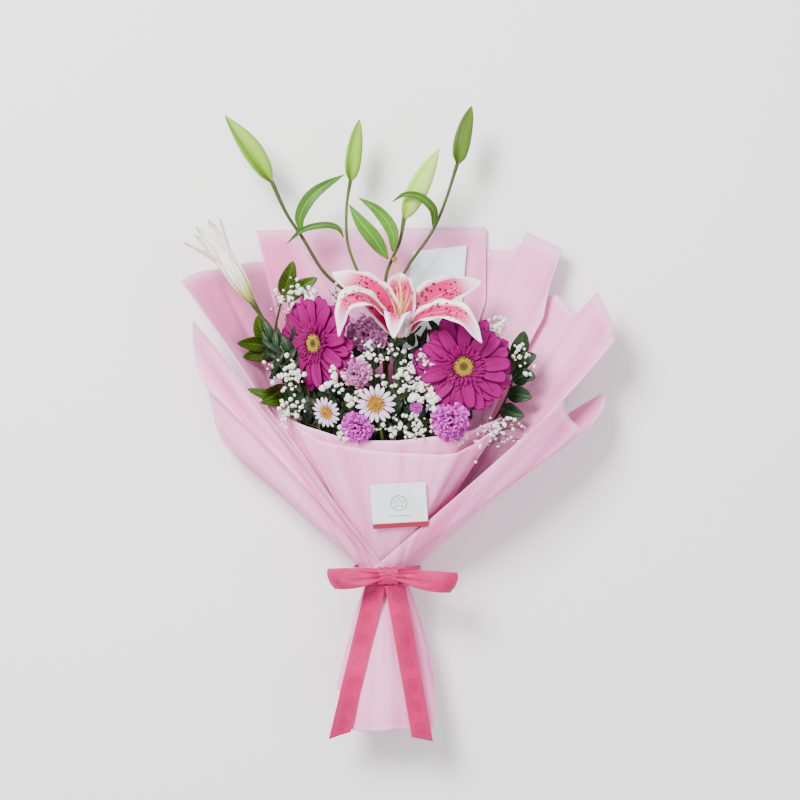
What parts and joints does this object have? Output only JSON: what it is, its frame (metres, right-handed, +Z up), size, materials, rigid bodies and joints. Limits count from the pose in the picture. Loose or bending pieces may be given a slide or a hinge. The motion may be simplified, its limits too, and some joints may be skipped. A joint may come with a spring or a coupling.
{
  "type": "wrapped bunch of lilies",
  "caption": "Hand-tied bouquet of lilies with gerberas, small carnations, daisies and greenery in flared pink paper, tied with a satin bow, lying on its back.",
  "frame": {"origin": "middle of the footprint on the surface that the bunch lies on", "axes": "+Y along the stems toward the flower heads, +Z up out of the faces of the flowers, +X to the right seen from above with the heads at the top"},
  "size_m": [0.4662, 0.6866, 0.1651],
  "materials": {
    "paper_pink": "matt translucent wrapping sheet",
    "paper_white": "matt translucent sheet",
    "ribbon_satin": "satin",
    "raffia": "dry fibre",
    "card": "smooth coated card with a coral strip",
    "lily_petal": "soft petal, pink with white rims and dark spots",
    "lily_white_bud": "soft petal",
    "lily_centre": "soft filament",
    "bud_green": "waxy bud skin",
    "bud_pale": "waxy bud skin",
    "stem_green": "smooth green stem",
    "lily_leaf": "satin leaf",
    "gerbera_magenta": "soft petal",
    "carnation_lilac": "ruffled petal",
    "daisy_petal": "soft petal with yellow centre",
    "foliage_green": "satin leaf",
    "foliage_dark": "satin leaf",
    "gypsophila_white": "small papery flowers"
  },
  "bodies": {
    "root": {"wrap_front_liner": "paper_pink", "wrap_back": "paper_pink", "wrap_front_panel": "paper_pink", "wrap_left_inner": "paper_pink", "wrap_right_back": "paper_pink", "wrap_right_inner": "paper_pink", "wrap_left_outer": "paper_pink", "wrap_left_band": "paper_pink", "wrap_right_front": "paper_pink", "skirt_back": "paper_pink", "skirt_front": "paper_pink", "wrap_inner_white": "paper_white", "ribbon_band": "ribbon_satin", "ribbon_knot": "ribbon_satin", "ribbon_loop_left": "ribbon_satin", "ribbon_loop_right": "ribbon_satin", "ribbon_tail_left": "ribbon_satin", "ribbon_tail_right": "ribbon_satin", "stem_tie": "raffia", "gift_card": "card", "lily_tepal_front": "lily_petal", "lily_tepal_left_front": "lily_petal", "lily_tepal_right_front": "lily_petal", "lily_tepal_left_back": "lily_petal", "lily_tepal_right_back": "lily_petal", "lily_tepal_back": "lily_petal", "lily_bud_half_open": "lily_white_bud", "lily_pistil": "lily_centre", "lily_stamens": "lily_centre", "lily_bud_left": "bud_green", "lily_bud_centre": "bud_green", "lily_bud_right": "bud_green", "lily_bud_pale": "bud_pale", "lily_stalk": "stem_green", "lily_stalk_left": "stem_green", "gerbera_stem_right": "stem_green", "gerbera_stem_left": "stem_green", "carnation_spray_left": "stem_green", "carnation_spray_right": "stem_green", "daisy_spray": "stem_green", "lily_leaf_upper_left": "lily_leaf", "lily_leaf_narrow": "lily_leaf", "lily_leaf_broad": "lily_leaf", "lily_leaf_tall": "lily_leaf", "lily_leaf_arching": "lily_leaf", "gerbera_head_right": "gerbera_magenta", "gerbera_head_left": "gerbera_magenta", "carnation_head_upper": "carnation_lilac", "carnation_head_mid": "carnation_lilac", "carnation_head_hidden": "carnation_lilac", "carnation_head_low": "carnation_lilac", "carnation_head_right": "carnation_lilac", "carnation_bud": "carnation_lilac", "daisy_head_centre": "daisy_petal", "daisy_head_left": "daisy_petal", "foliage_left": "foliage_green", "foliage_right": "foliage_dark", "gypsophila_left": "gypsophila_white", "gypsophila_centre": "gypsophila_white", "gypsophila_right": "gypsophila_white"}
  },
  "joints": []
}
